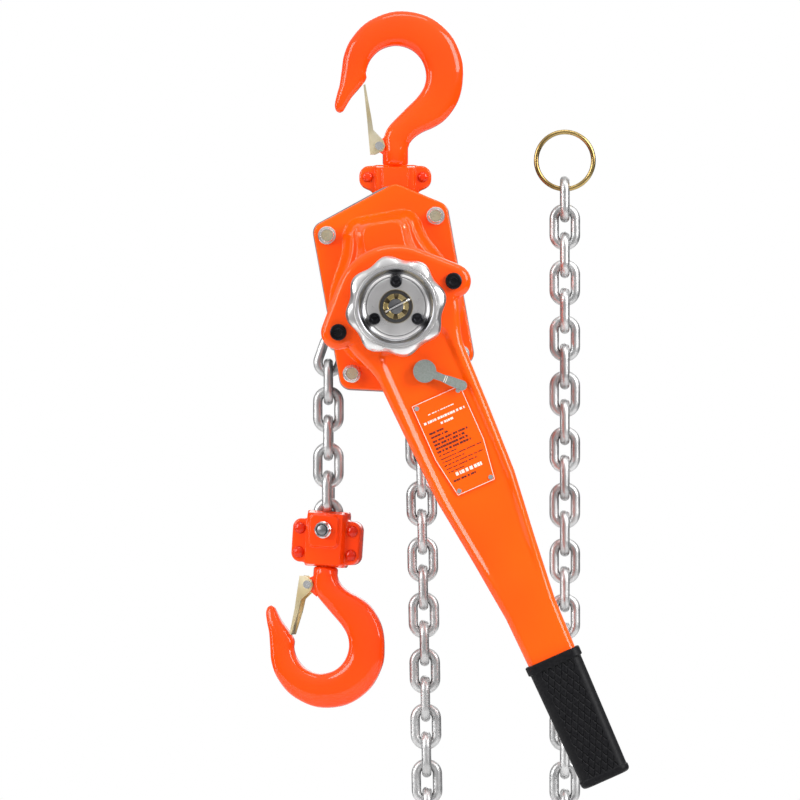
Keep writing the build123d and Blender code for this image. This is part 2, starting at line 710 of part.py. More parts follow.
def bottom_yoke_half(side, pin_z):
    top_z = pin_z + 14
    low_z = pin_z - 28
    block = Pos(0, (top_z + low_z) / 2) * RectangleRounded(31, top_z - low_z, 5)
    ears = Pos(0, pin_z - 9) * RectangleRounded(54, 33, 8)
    face = Pos(0, pin_z - 1) * RectangleRounded(24, 26, 6)
    half = slab(ears, 0.05, 7) + slab(block, 0.05, 13) + slab(face, 12, 15.3)
    slot = Pos(0, pin_z) * Circle(13) + Pos(0, pin_z + 12) * Rectangle(26, 24)
    slot += Polygon((-13, pin_z), (13, pin_z), (19, pin_z + 15), (-19, pin_z + 15), align=None)
    half -= slab(slot, -1, 4.3)
    half -= slab(Pos(0, pin_z + 11) * Rectangle(22, 10) - Pos(0, pin_z) * Circle(9.3), -1, 12.3)
    half -= Pos(0, 0, pin_z - 18.3) * Cylinder(12.5, 9)
    half -= Pos(0, 0, pin_z - 25) * Cylinder(6.8, 16)
    half -= y_rod(PIN_R + 0.05, -1, 20, 0, pin_z)
    for x, z in bottom_rivet_points(pin_z):
        half -= y_rod(3.02, -1, 20, x, z)
    return at_strand(half if side > 0 else mirror(half, Plane.XZ))


def bottom_rivet_points(pin_z):
    return [(x, pin_z + z) for x in (-20.2, 20.2) for z in (0, -18)]


def chain_pin(pin_z):
    pin = y_rod(PIN_R, -17.5, 17.5, 0, pin_z)
    front = y_rod(6.3, -17.0, -15.35, 0, pin_z) + hex_bar(6.2, -21, -16.9, 0, pin_z)
    rear = y_rod(6.3, 15.35, 18.6, 0, pin_z)
    return at_strand(pin + front + rear)


def to_bottom(shape):
    """A top hook piece turned over, made smaller and hung on the lower yoke."""
    flipped = scale(Pos(-HOOK_X, 0, 0) * shape, by=BOTTOM_SCALE)
    return at_strand(Pos(0, 0, BOTTOM_BOWL_Z) * Rot(180, 0, 0) * flipped)


def end_ring(link_top_z):
    """Split ring of two turns through the last link's bow."""
    radius = 21.4
    wire_r = 1.78
    centre_z = link_top_z + radius - wire_r - 1.15
    coil = Helix(3.66, 7.0, radius, center=(0, -3.5, 0), direction=(0, 1, 0))
    start = Plane(origin=coil @ 0, z_dir=coil % 0)
    ring = sweep(start * Circle(wire_r), path=coil, is_frenet=True)
    ends_at = math.degrees(math.atan2((coil @ 0).Z, (coil @ 0).X))
    return Pos(RING_X, 0, centre_z) * Rot(0, ends_at - 50, 0) * ring, centre_z


def build():
    load_links, pin_z = load_strand()
    wrap, pivots = wrapped_links()
    inside = 13
    ring, ring_z = end_ring(pivots[-1][1] - WIRE / 2)
    print("chain pin", pin_z, "ring centre", ring_z, "links", len(wrap) + len(load_links))
    top_neck = (TOP_LATCH_Z, -65.5, -84.5)
    bottom_neck_end = (BOTTOM_BOWL_Z - (pin_z - 22.6)) / BOTTOM_SCALE
    bottom_neck = (BOTTOM_LATCH_Z, -57.3, bottom_neck_end)
    return {
        "top_hook": hook(*top_neck),
        "top_hook_collar": collar(-84, -74.1, HOOK_X),
        "top_latch": latch(TOP_LATCH_Z),
        "top_latch_pin": latch_pin(TOP_LATCH_Z),
        "top_latch_spring": latch_spring(TOP_LATCH_Z),
        "top_yoke_front": top_yoke_half(-1),
        "top_yoke_rear": top_yoke_half(1),
        "top_yoke_rivets": solids_of([dome_rivet(x, -75.8, 8.05) for x in (-21.2, 20.2)]),
        "top_pin": y_rod(6, -20.9, 20.9, HOOK_X, TOP_PIN_Z),
        "front_side_plate": side_plate(-PLATE_OUTER, -PLATE_HALF_GAP),
        "rear_side_plate": side_plate(PLATE_HALF_GAP, PLATE_OUTER),
        "stay_bolts": stay_bolts(),
        "front_stay_nuts": stay_nuts(-1),
        "rear_stay_nuts": stay_nuts(1),
        "chain_guide_sleeves": guide_sleeves(),
        "chain_stripper": chain_stripper(),
        "brake_cover": brake_cover(),
        "gear_case": gear_case(),
        "front_bearing": bearing(-PLATE_OUTER, -PLATE_HALF_GAP),
        "rear_bearing": bearing(PLATE_HALF_GAP, PLATE_OUTER),
        "load_sheave": load_sheave(),
        "load_gear": load_gear(),
        "upper_idler_gear": idler_gear(1),
        "lower_idler_gear": idler_gear(-1),
        "drive_shaft": drive_shaft(),
        "disc_hub": disc_hub(),
        "friction_discs": friction_discs(),
        "ratchet_disc": ratchet_disc(),
        "left_pawl": pawl(0),
        "right_pawl": pawl(1),
        "pawl_pins": pawl_pins(),
        "pawl_springs": pawl_springs(),
        "change_gear": change_gear(),
        "castle_nut": castle_nut(),
        "cotter_pin": cotter_pin(),
        "handwheel": handwheel(),
        "handwheel_screws": handwheel_screws(),
        "handwheel_spring": handwheel_spring(),
        "lever_front_shell": lever_front_shell(),
        "lever_rear_shell": lever_rear_shell(),
        "lever_bolts": lever_bolts(),
        "lever_grip": lever_grip(),
        "name_plate": name_plate(),
        "name_plate_rivets": name_plate_rivets(),
        "selector_lever": selector_lever(),
        "selector_pawl": selector_pawl(),
        "load_chain": solids_of(load_links[1:]),
        "inner_chain": solids_of(load_links[:1] + wrap[:inside]),
        "slack_chain": solids_of(wrap[inside:]),
        "end_ring": ring,
        "bottom_yoke_front": bottom_yoke_half(-1, pin_z),
        "bottom_yoke_rear": bottom_yoke_half(1, pin_z),
        "bottom_yoke_rivets": solids_of(
            [at_strand(dome_rivet(x, z, 7.05, head_r=4.3)) for x, z in bottom_rivet_points(pin_z)]),
        "chain_pin": chain_pin(pin_z),
        "bottom_hook": to_bottom(hook(*bottom_neck)),
        "bottom_hook_collar": at_strand(
            Pos(0, 0, pin_z - 18.3) * (Cylinder(11.8, 8.6) - Cylinder(6.5, 20))),
        "bottom_latch": to_bottom(latch(BOTTOM_LATCH_Z)),
        "bottom_latch_pin": to_bottom(latch_pin(BOTTOM_LATCH_Z)),
        "bottom_latch_spring": to_bottom(latch_spring(BOTTOM_LATCH_Z)),
    }


os.makedirs("parts", exist_ok=True)
for name, shape in build().items():
    export_step(shape, "parts/" + name + ".step")
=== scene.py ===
import bpy
import bmesh
import math
import numpy as np
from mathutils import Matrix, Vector


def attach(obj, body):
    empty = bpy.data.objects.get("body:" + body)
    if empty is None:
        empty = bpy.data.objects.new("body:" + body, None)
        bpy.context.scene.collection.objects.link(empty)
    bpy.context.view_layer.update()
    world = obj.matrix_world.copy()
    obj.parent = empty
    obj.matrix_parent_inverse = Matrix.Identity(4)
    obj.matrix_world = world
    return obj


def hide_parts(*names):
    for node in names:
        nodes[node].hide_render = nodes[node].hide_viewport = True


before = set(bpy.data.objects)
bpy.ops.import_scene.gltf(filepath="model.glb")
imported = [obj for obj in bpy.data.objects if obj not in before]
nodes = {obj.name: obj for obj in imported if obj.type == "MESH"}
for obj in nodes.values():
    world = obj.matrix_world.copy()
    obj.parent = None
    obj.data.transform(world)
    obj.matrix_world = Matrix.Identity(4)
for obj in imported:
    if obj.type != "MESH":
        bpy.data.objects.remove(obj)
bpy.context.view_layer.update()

MM = 0.001
# lengths in mm
AXIS_Z = -173.6          # height of the drive shaft's axis
BODY_TILT = math.radians(10.2)
LEVER_ANGLE = math.radians(24.0)
STRAND_X = -50.7         # hanging load strand
BOTTOM_YAW = math.radians(-14.0)
BOTTOM_TILT = math.radians(3.8)
CHAIN_PIN_Z = -340.2
BOTTOM_BOWL_Z = -426.7
BOTTOM_SCALE = 0.965     # bottom hook's size against the top hook's
HOOK_X = -0.5            # hook shank beside the bowl's centre
HOOK_BOWL_R = 22.5
HOOK_BACK_R = 45.6
HOOK_POINTS = 28         # points round a hook's section
HOOK_SQUARENESS = 2.7    # 2 would be an ellipse
LATCH_X = -12.5
STAY_POINTS = [(s * 41.25, w) for s in (-1, 1) for w in (62.0, -43.0)]
PLATE_CORNER_R = 8.4
COVER_Y = -23.4          # flat of the brake cover
CASE_Y = 23.4            # flat of the gear case
LEVER_HEAD_R = 46.3
LEVER_BOLT_X = 46.9
LEVER_EAR_R = 12.9
LEVER_FRONT_Y = -81.95
LEVER_REAR_Y = -57.1
LEVER_FALL = 4.5         # each shell slopes inwards towards the grip
RECESS_DEPTH = 2.45
SELECTOR_U = 52.5        # selector's place down the lever
GRIP_START = 285.0
GRIP_END = 385.3
GRIP_POINTS = 320        # points round the grip's section
GRIP_Y = -69.5
KNURL_PITCH = 5.2
KNURL_DEPTH = 0.75
WHEEL_LOBES = 8
WHEEL_WAVE = 1.7
WHEEL_PHASE = math.radians(12)
WHEEL_SCREW_R = 18.3
PIN_TURN = 28            # degrees, cotter pin and the nut's slots
LABEL_Y = -80.95         # front of the printed marks
LABEL_THICKNESS = 0.3
BORDER_HALF = 0.2        # half the width of the border line
# lengths in m
MIDDLE = Vector((0, 0, -0.25))
CAMERA_PLACE = (0.003, -9.0, -0.243)
VIEW_WIDTH = 0.600


# ---- placing: a part's own (across, depth, up) in mm to the shared frame in metres
def lean(x, y, z, angle):
    """Turn about the main axis; a positive angle swings the top to the left."""
    c = math.cos(angle)
    s = math.sin(angle)
    return Vector((x * c - z * s, y, AXIS_Z + x * s + z * c)) * MM


def on_body(x, y, z):
    return lean(x, y, z, BODY_TILT)


def on_lever(x, y, z):
    return lean(x, y, z, LEVER_ANGLE)


def upright(x, y, z):
    return Vector((x, y, z)) * MM


def on_axis(x, y, z):
    return lean(x, y, z, 0.0)


def at_strand(x, y, z):
    """Bottom block's own frame: swung on the chain pin, then turned about the strand."""
    swing_c = math.cos(BOTTOM_TILT)
    swing_s = math.sin(BOTTOM_TILT)
    drop = z - CHAIN_PIN_Z
    across = x * swing_c + drop * swing_s
    up = -x * swing_s + drop * swing_c
    c = math.cos(BOTTOM_YAW)
    s = math.sin(BOTTOM_YAW)
    return Vector((STRAND_X + across * c - y * s, across * s + y * c, CHAIN_PIN_Z + up)) * MM


# ---- mesh helpers
def finish_mesh(name, verts, faces, body, replaced=(), slot=None, material=None, angle=40, tones=None,
                second=None):
    """Mesh object that rides on a body; faces with tone 1 take the second material."""
    mesh = bpy.data.meshes.new(name)
    mesh.from_pydata([tuple(v) for v in verts], [], faces)
    if tones:
        mesh.polygons.foreach_set("material_index", tones)
    bm = bmesh.new()
    bm.from_mesh(mesh)
    bmesh.ops.remove_doubles(bm, verts=bm.verts, dist=1e-6)
    bmesh.ops.recalc_face_normals(bm, faces=bm.faces)
    bm.to_mesh(mesh)
    bm.free()
    mesh.polygons.foreach_set("use_smooth", [True] * len(mesh.polygons))
    mesh.set_sharp_from_angle(angle=math.radians(angle))
    piece = bpy.data.objects.new(name, mesh)
    bpy.context.scene.collection.objects.link(piece)
    mesh.materials.append(material)
    if second:
        mesh.materials.append(second)
    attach(piece, body)
    if replaced:
        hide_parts(*replaced)


def grid_faces(rows, columns, wrap_columns=False, wrap_rows=False, start=0):
    """Four-sided faces between rows of points, closed round on request."""
    faces = []
    last_row = rows if wrap_rows else rows - 1
    last_column = columns if wrap_columns else columns - 1
    for i in range(last_row):
        for j in range(last_column):
            a = start + i * columns + j
            b = start + i * columns + (j + 1) % columns
            c = start + ((i + 1) % rows) * columns + (j + 1) % columns
            d = start + ((i + 1) % rows) * columns + j
            faces.append((a, b, c, d))
    return faces


def lathe(parts, centre, profile, place, spokes=48, corners=0):
    """Turned shape along Y from (radius, y, tone, hex share) rows; parts is (verts, faces, tones)."""
    verts, faces, tones = parts
    start = len(verts)
    for radius, y, _, share in profile:
        for k in range(spokes):
            a = 2 * math.pi * k / spokes
            if corners:
                sector = 2 * math.pi / corners
                flat = math.cos(sector / 2) / math.cos((a % sector) - sector / 2)
                reach = radius * (1 + share * (flat - 1))
            else:
                reach = radius
            verts.append(place(centre[0] + reach * math.cos(a), y, centre[1] + reach * math.sin(a)))
    new = grid_faces(len(profile), spokes, wrap_columns=True, start=start)
    faces.extend(new)
    tones.extend(profile[i // spokes][2] for i in range(len(new)))
    faces.append(tuple(range(start, start + spokes)))
    faces.append(tuple(range(start + (len(profile) - 1) * spokes, start + len(profile) * spokes)))
    tones.extend((profile[0][2], profile[-1][2]))


def add_slab(verts, faces, corners, front_y, back_y, place):
    """Thin four-cornered slab; corners are (across, up)."""
    start = len(verts)
    for y in (front_y, back_y):
        verts += [place(x, y, z) for x, z in corners]
    faces += [(start, start + 1, start + 2, start + 3), (start + 4, start + 7, start + 6, start + 5)]
    for k in range(4):
        n = (k + 1) % 4
        faces.append((start + k, start + 4 + k, start + 4 + n, start + n))


# ---- signed distances in mm, negative inside
def circle_d(x, z, cx, cz, r):
    return np.hypot(x - cx, z - cz) - r


def box_d(x, z, cx, cz, hx, hz, r):
    """Distance to a box of half sizes hx and hz with corners of radius r."""
    qx = np.abs(x - cx) - hx + r
    qz = np.abs(z - cz) - hz + r
    outside = np.hypot(np.maximum(qx, 0), np.maximum(qz, 0))
    return outside + np.minimum(np.maximum(qx, qz), 0) - r


def polygon_d(x, z, points, r):
    """Distance to a polygon whose corners are rounded outwards by r."""
    best = np.full(np.shape(x), 1e9)
    inside = np.zeros(np.shape(x), bool)
    for (ax, az), (bx, bz) in zip(points, points[1:] + points[:1]):
        ex = bx - ax
        ez = bz - az
        t = np.clip(((x - ax) * ex + (z - az) * ez) / (ex * ex + ez * ez), 0, 1)
        best = np.minimum(best, np.hypot(x - ax - t * ex, z - az - t * ez))
        crosses = (az > z) != (bz > z)
        with np.errstate(divide="ignore", invalid="ignore"):
            side = x < ax + (z - az) * ex / (ez if ez else 1e-9)
        inside ^= crosses & side
    return np.where(inside, -best, best) - r


def join_d(a, b, k):
    """Smooth union with a blend about k wide."""
    h = np.clip(0.5 + 0.5 * (b - a) / k, 0, 1)
    return b + (a - b) * h - k * h * (1 - h)


def ease(t):
    """Smooth step from 0 to 1."""
    t = np.clip(t, 0, 1)
    return t * t * (3 - 2 * t)


def edge_round(d, r):
    """Drop of a rounded edge at the distance d (negative inside), from 0 to r."""
    t = np.clip(1 + d / r, 0, 1)
    return r * (1 - np.sqrt(np.maximum(0, 1 - t * t)))


def relief(name, centre, outline, height, back_y, place, body, spokes=240, rings=70, reach=120, **kw):
    """A plate whose outline is star shaped about its centre and whose face follows height."""
    angles = np.linspace(0, 2 * math.pi, spokes, endpoint=False)
    ux = np.cos(angles)
    uz = np.sin(angles)
    low = np.zeros(spokes)
    high = np.full(spokes, float(reach))
    for _ in range(30):
        middle = (low + high) / 2
        inside = outline(centre[0] + ux * middle, centre[1] + uz * middle) < 0
        low = np.where(inside, middle, low)
        high = np.where(inside, high, middle)
    edge = low
    verts = []
    for i in range(rings):
        t = (i / (rings - 1)) ** 0.8
        x = centre[0] + ux * edge * t
        z = centre[1] + uz * edge * t
        y = height(x, z)
        verts += [place(*p) for p in zip(x, y, z)]
    x = centre[0] + ux * edge
    z = centre[1] + uz * edge
    verts += [place(px, back_y, pz) for px, pz in zip(x, z)]
    faces = grid_faces(rings + 1, spokes, wrap_columns=True)
    verts.append(place(centre[0], back_y, centre[1]))
    hub = len(verts) - 1
    base = rings * spokes
    faces += [(base + j, base + (j + 1) % spokes, hub) for j in range(spokes)]
    finish_mesh(name, verts, faces, body, **kw)


# ---- materials
def new_material(name, color, metallic=0.0, roughness=0.4):
    material = bpy.data.materials.new(name)
    material.use_nodes = True
    tree = material.node_tree
    shader = tree.nodes["Principled BSDF"]
    shader.inputs["Base Color"].default_value = (*color, 1)
    shader.inputs["Metallic"].default_value = metallic
    shader.inputs["Roughness"].default_value = roughness
    return material, tree, shader


def noise(tree, scale, detail=4.0):
    coords = tree.nodes.new("ShaderNodeTexCoord")
    texture = tree.nodes.new("ShaderNodeTexNoise")
    texture.inputs["Scale"].default_value = scale
    texture.inputs["Detail"].default_value = detail
    tree.links.new(coords.outputs["Object"], texture.inputs["Vector"])
    return texture.outputs["Fac"]


def wear_edges(tree, shader, worn, amount):
    """Lighter tone along sharp edges, broken up by noise."""
    geometry = tree.nodes.new("ShaderNodeNewGeometry")
    rounded = tree.nodes.new("ShaderNodeBevel")
    rounded.samples = 4
    rounded.inputs["Radius"].default_value = 0.0005
    turn = tree.nodes.new("ShaderNodeVectorMath")
    turn.operation = "DOT_PRODUCT"
    tree.links.new(geometry.outputs["Normal"], turn.inputs[0])
    tree.links.new(rounded.outputs["Normal"], turn.inputs[1])
    edge = tree.nodes.new("ShaderNodeMapRange")
    edge.inputs["From Min"].default_value = 0.98
    edge.inputs["From Max"].default_value = 0.80
    edge.inputs["To Max"].default_value = amount
    tree.links.new(turn.outputs["Value"], edge.inputs["Value"])
    broken = tree.nodes.new("ShaderNodeMath")
    broken.operation = "MULTIPLY"
    tree.links.new(edge.outputs["Result"], broken.inputs[0])
    tree.links.new(noise(tree, 130, 4), broken.inputs[1])
    mix = tree.nodes.new("ShaderNodeMix")
    mix.data_type = "RGBA"
    mix.inputs["B"].default_value = (*worn, 1)
    link = shader.inputs["Base Color"].links[0]
    tree.links.new(broken.outputs["Value"], mix.inputs["Factor"])
    tree.links.new(link.from_socket, mix.inputs["A"])
    tree.links.new(mix.outputs["Result"], shader.inputs["Base Color"])


def vary_color(tree, shader, fac, low, high):
    ramp = tree.nodes.new("ShaderNodeValToRGB")
    ramp.color_ramp.elements[0].position = 0.35
    ramp.color_ramp.elements[1].position = 0.65
    ramp.color_ramp.elements[0].color = (*low, 1)
    ramp.color_ramp.elements[1].color = (*high, 1)
    tree.links.new(fac, ramp.inputs["Fac"])
    tree.links.new(ramp.outputs["Color"], shader.inputs["Base Color"])


def vary_roughness(tree, shader, fac, low, high):
    spread = tree.nodes.new("ShaderNodeMapRange")
    spread.inputs["From Min"].default_value = 0.3
    spread.inputs["From Max"].default_value = 0.7
    spread.inputs["To Min"].default_value = low
    spread.inputs["To Max"].default_value = high
    tree.links.new(fac, spread.inputs["Value"])
    tree.links.new(spread.outputs["Result"], shader.inputs["Roughness"])


def add_bump(tree, shader, fac, strength, distance):
    bump = tree.nodes.new("ShaderNodeBump")
    bump.inputs["Strength"].default_value = strength
    bump.inputs["Distance"].default_value = distance
    tree.links.new(fac, bump.inputs["Height"])
    tree.links.new(bump.outputs["Normal"], shader.inputs["Normal"])


def enamel(name, deep, light, roughness):
    """Sprayed gloss enamel: slow colour drift, faint orange peel under a clear coat."""
    material, tree, shader = new_material(name, light, 0.0, roughness)
    vary_color(tree, shader, noise(tree, 7, 2), deep, light)
    wear_edges(tree, shader, (1.0, 0.22, 0.05), 0.5)
    vary_roughness(tree, shader, noise(tree, 60, 3), roughness - 0.04, roughness + 0.06)
    add_bump(tree, shader, noise(tree, 380, 2), 0.05, 0.0004)
    shader.inputs["Specular IOR Level"].default_value = 0.08
    shader.inputs["Coat Weight"].default_value = 0.85
    shader.inputs["Coat Roughness"].default_value = 0.04
    shader.inputs["Coat IOR"].default_value = 1.36
    return material


def metal(name, low, high, rough, grain=260, bump=0.08):
    """Bare or plated metal: cloudy tone, grain in the roughness, lighter edges."""
    material, tree, shader = new_material(name, high, 1.0, rough[0])
    fac = noise(tree, grain, 5)
    vary_color(tree, shader, noise(tree, 38, 4), low, high)
    wear_edges(tree, shader, tuple(min(1, 1.35 * c) for c in high), 0.6)
    vary_roughness(tree, shader, fac, *rough)
    add_bump(tree, shader, fac, bump, 0.0004)
    return material


def plastic(name, low, high, rough, grain=500, bump=0.25, specular=0.5):
    """Moulded rubber, lining, ink or dull casting with a fine grain."""
    material, tree, shader = new_material(name, high, 0.0, rough[0])
    fac = noise(tree, grain, 4)
    vary_color(tree, shader, fac, low, high)
    wear_edges(tree, shader, tuple(min(1, 1.8 * c) for c in high), 0.5)
    vary_roughness(tree, shader, noise(tree, 90, 3), *rough)
    add_bump(tree, shader, fac, bump, 0.0003)
    shader.inputs["Specular IOR Level"].default_value = specular
    return material


ORANGE = enamel("orange_enamel", (0.93, 0.072, 0.001), (1.0, 0.104, 0.001), 0.17)
HOOK_ORANGE = enamel("hook_enamel", (0.86, 0.048, 0.002), (0.95, 0.074, 0.003), 0.17)
# darker copy of the orange enamel for the yoke rivets: painted shade
YOKE_ORANGE_PAINTED_SHADE = enamel("yoke_enamel_painted_shade", (0.58, 0.016, 0.001), (0.76, 0.036, 0.002), 0.17)
CHAIN = metal("chain_zinc", (0.44, 0.44, 0.44), (0.62, 0.62, 0.62), (0.34, 0.46), 150, bump=0.12)
BRIGHT = metal("bright_steel", (0.74, 0.74, 0.74), (0.88, 0.88, 0.87), (0.20, 0.30), 160, bump=0.02)
WHEEL_STEEL = metal("wheel_steel", (0.66, 0.65, 0.65), (0.78, 0.77, 0.77), (0.26, 0.34), 90, bump=0.02)
# dark metal for the hand wheel's shaft well and cup wall: painted shade
CUP_AND_WELL_PAINTED_SHADE = metal("wheel_cup_and_well_painted_shade", (0.14, 0.14, 0.15), (0.24, 0.24, 0.25), (0.28, 0.36), 120, bump=0.02)
SATIN = plastic("selector_satin", (0.155, 0.175, 0.16), (0.205, 0.225, 0.21), (0.42, 0.52), 900, 0.05)
ZINC_YELLOW = metal("yellow_zinc", (0.78, 0.66, 0.42), (0.90, 0.82, 0.62), (0.24, 0.34), 200, bump=0.02)
RING_BRASS = metal("ring_brass", (0.26, 0.17, 0.06), (0.48, 0.35, 0.14), (0.20, 0.28), 90, bump=0.03)
LATCH_ZINC = metal("latch_zinc", (0.80, 0.63, 0.33), (0.97, 0.89, 0.66), (0.30, 0.42), 60, bump=0.03)
BLACK_STEEL = metal("black_oxide", (0.012, 0.012, 0.014), (0.030, 0.030, 0.034), (0.22, 0.34), 300, bump=0.03)
BRASS = metal("brass_nut", (0.50, 0.38, 0.16), (0.70, 0.57, 0.30), (0.20, 0.28), 200, bump=0.02)
# dark metal for the castle nut's slot floors: painted shade in the slots
SLOT_PAINTED_SHADE = metal("nut_slot_painted_shade", (0.10, 0.08, 0.05), (0.16, 0.13, 0.08), (0.35, 0.5), 200, bump=0.02)
HARD = metal("ground_steel", (0.20, 0.20, 0.21), (0.36, 0.36, 0.37), (0.25, 0.42), 240)
PLATE = metal("plate_zinc", (0.34, 0.34, 0.35), (0.50, 0.50, 0.51), (0.3, 0.45), 200)
RUBBER = plastic("grip_rubber", (0.004, 0.004, 0.005), (0.008, 0.008, 0.009), (0.40, 0.50), 500, 0.1, 0.12)
LINING = plastic("friction_lining", (0.05, 0.035, 0.025), (0.12, 0.09, 0.06), (0.7, 0.9), 700)
INK_DARK = plastic("label_dark_ink", (0.07, 0.008, 0.002), (0.12, 0.014, 0.004), (0.4, 0.5))
INK_LIGHT = plastic("label_white_ink", (0.75, 0.62, 0.55), (0.85, 0.74, 0.66), (0.4, 0.5))

BY_NODE = {
    CHAIN: ["load_chain", "inner_chain", "slack_chain"],
    BRIGHT: ["cotter_pin", "name_plate_rivets", "top_latch_spring", "bottom_latch_spring",
             "pawl_springs", "handwheel_spring", "front_bearing", "rear_bearing",
             "top_latch_pin", "bottom_latch_pin", "front_stay_nuts", "rear_stay_nuts"],
    HOOK_ORANGE: ["top_hook", "bottom_hook"],
    YOKE_ORANGE_PAINTED_SHADE: ["top_yoke_rivets", "bottom_yoke_rivets", "top_yoke_front", "top_yoke_rear",
                  "bottom_yoke_front", "bottom_yoke_rear"],
    ORANGE: ["brake_cover", "gear_case", "lever_front_shell", "lever_rear_shell", "name_plate"],
    RING_BRASS: ["end_ring"],
    ZINC_YELLOW: ["stay_bolts"],
    BRASS: ["castle_nut"],
    LATCH_ZINC: ["top_latch", "bottom_latch"],
    BLACK_STEEL: ["handwheel_screws", "lever_bolts"],
    SATIN: ["selector_lever"],
    WHEEL_STEEL: ["handwheel", "chain_pin"],
    PLATE: ["front_side_plate", "rear_side_plate"],
    RUBBER: ["lever_grip"],
    LINING: ["friction_discs"],
}


def dress_cad():
    """Every CAD node gets a worked material and smooth shading with crisp edges."""
    named = {n: m for m, names in BY_NODE.items() for n in names}
    for name, piece in nodes.items():
        piece.data.materials.clear()
        piece.data.materials.append(named.get(name, HARD))
        piece.data.polygons.foreach_set("use_smooth", [True] * len(piece.data.polygons))
        piece.data.set_sharp_from_angle(angle=math.radians(32))


# ---- hooks
def hook_stations():
    """Inner point, outer point and half thickness from the tip to the neck."""
    def bowl(degrees):
        a = math.radians(degrees)
        return (HOOK_BOWL_R * math.cos(a), HOOK_BOWL_R * math.sin(a))

    def crown(degrees):
        a = math.radians(degrees)
        return (4.9 + HOOK_BACK_R * math.cos(a), 3.4 + HOOK_BACK_R * math.sin(a))

    stations = [
        ((-41.6, -27.6), (-42.6, -27.7), 0.6),
        ((-39.6, -26.4), (-44.9, -26.0), 3.2),
        ((-37.9, -23.6), (-45.9, -21.5), 4.8),
        ((-33.6, -16.6), (-44.4, -14.0), 6.4),
        ((-27.6, -9.6), (-42.3, -6.4), 7.4),
    ]
    for inner, outer, half in (
        (186, 178, 8.0), (168, 164, 8.3), (146, 147, 8.6), (120, 124, 8.8), (90, 96, 8.9),
        (60, 66, 8.9), (32, 38, 8.9), (5, 12, 8.9), (-20, -7, 8.9),
    ):
        stations.append((bowl(inner), crown(outer), half))
    stations += [
        (bowl(-45), (48.0, -15.0), 8.8),
        ((8.2, -23.6), (43.2, -25.0), 8.8),
        ((3.2, -28.6), (36.0, -33.6), 8.9),
        ((-1.4, -33.2), (28.0, -38.8), 9.0),
        ((-5.0, -37.2), (19.8, -42.4), 9.1),
        ((-7.6, -41.5), (13.6, -46.6), 9.3),
        ((-9.2, -46.4), (10.2, -50.6), 9.4),
    ]
    return stations


def smooth_path(rows, steps):
    """Catmull-Rom through rows of numbers."""
    rows = np.array(rows, float)
    padded = np.vstack([2 * rows[0] - rows[1], rows, 2 * rows[-1] - rows[-2]])
    out = []
    for i in range(1, len(padded) - 2):
        p0, p1, p2, p3 = padded[i - 1], padded[i], padded[i + 1], padded[i + 2]
        for k in range(steps):
            t = k / steps
            out.append(0.5 * (2 * p1 + (p2 - p0) * t + (2 * p0 - 5 * p1 + 4 * p2 - p3) * t * t
                              + (3 * p1 - p0 - 3 * p2 + p3) * t ** 3))
    out.append(rows[-1])
    return np.array(out)


def section_ring(inner, outer, half):
    """Rounded section from the inner to the outer point, with its half thickness."""
    ring = []
    for k in range(HOOK_POINTS):
        a = 2 * math.pi * k / HOOK_POINTS
        c = math.cos(a)
        s = math.sin(a)
        along = math.copysign(abs(c) ** (2 / HOOK_SQUARENESS), c)
        across = math.copysign(abs(s) ** (2 / HOOK_SQUARENESS), s)
        t = 0.5 + 0.5 * along
        swell = 1.0 - 0.16 * t
        ring.append((inner[0] + (outer[0] - inner[0]) * t, half * across * swell,
                     inner[1] + (outer[1] - inner[1]) * t))
    return ring


def hook_piece(name, node, body, latch_z, shank_end, neck_end, place):
    """Hook from tip to neck, with a round shank and the two ears of the latch."""
    rows = [(*i, *o, h) for i, o, h in hook_stations()]
    rows = smooth_path(rows, 5)
    rings = [section_ring(r[0:2], r[2:4], r[4]) for r in rows]
    for radius, z in ((9.5, -54.4), (9.5, shank_end + 1.2), (8.6, shank_end), (6.6, shank_end - 0.6),
                      (6.6, neck_end)):
        turns = [2 * math.pi * k / HOOK_POINTS for k in range(HOOK_POINTS)]
        rings.append([(HOOK_X + radius * math.cos(a), radius * math.sin(a), z) for a in turns])
    verts = [place(*p) for ring in rings for p in ring]
    faces = grid_faces(len(rings), HOOK_POINTS, wrap_columns=True)
    faces.append(tuple(range(HOOK_POINTS - 1, -1, -1)))
    faces.append(tuple(range((len(rings) - 1) * HOOK_POINTS, len(rings) * HOOK_POINTS)))
    for side in (-1, 1):
        add_lug(verts, faces, latch_z, side, place)
    finish_mesh(name, verts, faces, body, (node,), "hook_enamel", HOOK_ORANGE, 50)


def add_lug(verts, faces, latch_z, side, place):
    """Rounded ear that carries the latch pin."""
    outline = []
    for k in range(13):
        a = math.radians(80 + 190 * k / 12)
        outline.append((LATCH_X + 4.4 * math.cos(a), latch_z + 4.4 * math.sin(a)))
    outline += [(-6, latch_z - 9), (-3, latch_z), (-5.5, latch_z + 9)]
    ys = [side * y for y in (2.6, 5.0, 5.4)]
    start = len(verts)
    count = len(outline)
    for y, shrink in zip(ys, (1.0, 1.0, 0.92)):
        for x, z in outline:
            verts.append(place(-8 + (x + 8) * shrink, y, latch_z + (z - latch_z) * shrink))
    faces.extend(grid_faces(3, count, wrap_columns=True, start=start))
    faces.append(tuple(range(start, start + count)))
    faces.append(tuple(range(start + 2 * count, start + 3 * count)))


def bottom_place(x, y, z):
    """Top hook coordinates turned over on to the bottom yoke."""
    return at_strand((x - HOOK_X) * BOTTOM_SCALE, -y * BOTTOM_SCALE, BOTTOM_BOWL_Z - z * BOTTOM_SCALE)


def make_hooks():
    hook_piece("top_hook_forging", "top_hook", "top_hook", -52.5, -67.0, -84.0, upright)
    hook_piece("bottom_hook_forging", "bottom_hook", "bottom_hook", -46.2, -60.2, -66.0, bottom_place)


